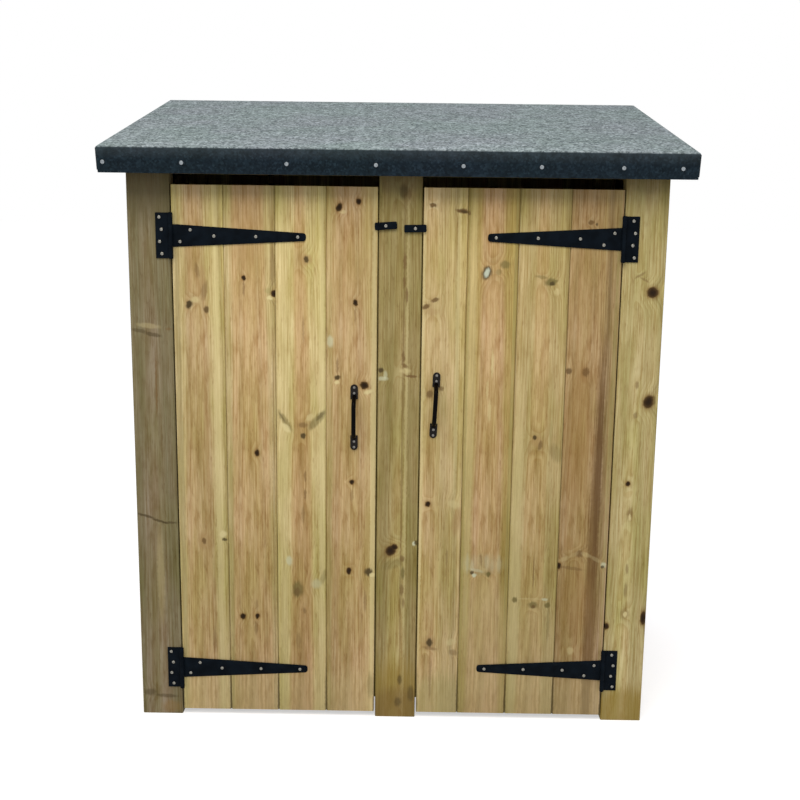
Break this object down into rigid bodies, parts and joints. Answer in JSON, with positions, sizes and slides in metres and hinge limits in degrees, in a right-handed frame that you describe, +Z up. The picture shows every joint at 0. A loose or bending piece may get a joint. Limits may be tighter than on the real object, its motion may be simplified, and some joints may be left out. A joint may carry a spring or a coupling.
{
  "type": "tool store",
  "caption": "Low pine garden tool store with flush boarded doors on black tee hinges, turn buttons on a centre post, pull handles and a felted roof sloping to the front.",
  "frame": {"origin": "on the ground under the middle of the roof", "axes": "+Z up, the doors face -Y, +X to the right of someone facing the doors"},
  "size_m": [1.2904, 0.78, 1.4755],
  "materials": {
    "post_pine": "pressure-treated, planed",
    "door_pine": "pressure-treated, planed, V-jointed",
    "wall_pine": "pressure-treated, planed, V-jointed",
    "frame_pine": "pressure-treated, sawn",
    "roof_board": "pressed strand board",
    "mineral_felt": "mineral-faced bitumen",
    "black_steel": "black stove enamel",
    "bright_zinc": "bright zinc plate"
  },
  "bodies": {
    "carcass": {"back_boards": "wall_pine", "centre_floor_bearer": "frame_pine", "centre_front_post": "post_pine", "centre_rafter": "frame_pine", "door_stops": "frame_pine", "felt_nails": "bright_zinc", "floor_boards": "frame_pine", "front_roof_batten": "frame_pine", "front_top_rail": "frame_pine", "hinge_pins": "black_steel", "hinge_plate_screws": "bright_zinc", "left_floor_bearer": "frame_pine", "left_front_post": "post_pine", "left_lower_hinge_plate": "black_steel", "left_middle_rail": "frame_pine", "left_rear_post": "frame_pine", "left_roof_batten": "frame_pine", "left_side_boards": "wall_pine", "left_top_rail": "frame_pine", "left_upper_hinge_plate": "black_steel", "rear_middle_rail": "frame_pine", "rear_roof_batten": "frame_pine", "rear_top_rail": "frame_pine", "right_floor_bearer": "frame_pine", "right_front_post": "post_pine", "right_lower_hinge_plate": "black_steel", "right_middle_rail": "frame_pine", "right_rear_post": "frame_pine", "right_roof_batten": "frame_pine", "right_side_boards": "wall_pine", "right_top_rail": "frame_pine", "right_upper_hinge_plate": "black_steel", "roof_deck": "roof_board", "roof_felt": "mineral_felt", "turn_button_screws": "bright_zinc", "turn_button_washers": "bright_zinc"},
    "left_door": {"left_door_board_1": "door_pine", "left_door_board_2": "door_pine", "left_door_board_3": "door_pine", "left_door_board_4": "door_pine", "left_door_braces": "frame_pine", "left_door_ledges": "frame_pine", "left_handle": "black_steel", "left_handle_screws": "black_steel", "left_hinge_strap_screws": "bright_zinc", "left_lower_hinge_strap": "black_steel", "left_upper_hinge_strap": "black_steel"},
    "right_door": {"right_door_board_1": "door_pine", "right_door_board_2": "door_pine", "right_door_board_3": "door_pine", "right_door_board_4": "door_pine", "right_door_braces": "frame_pine", "right_door_ledges": "frame_pine", "right_handle": "black_steel", "right_handle_screws": "black_steel", "right_hinge_strap_screws": "bright_zinc", "right_lower_hinge_strap": "black_steel", "right_upper_hinge_strap": "black_steel"},
    "left_turn_button": {"left_turn_button": "black_steel"},
    "right_turn_button": {"right_turn_button": "black_steel"}
  },
  "joints": [
    {"name": "left_door_swing", "type": "hinge", "parent": "carcass", "child": "left_door", "pos_m": [-0.4985, -0.3354, 0.6275], "axis": [0, 0, -1], "range_deg": [0, 175]},
    {"name": "right_door_swing", "type": "hinge", "parent": "carcass", "child": "right_door", "pos_m": [0.4985, -0.3354, 0.6335], "axis": [0, 0, 1], "range_deg": [0, 175]},
    {"name": "left_button_turn", "type": "hinge", "parent": "carcass", "child": "left_turn_button", "pos_m": [-0.0245, -0.33265, 1.163], "axis": [0, 1, 0], "continuous": true},
    {"name": "right_button_turn", "type": "hinge", "parent": "carcass", "child": "right_turn_button", "pos_m": [0.0405, -0.33265, 1.158], "axis": [0, 1, 0], "continuous": true}
  ]
}
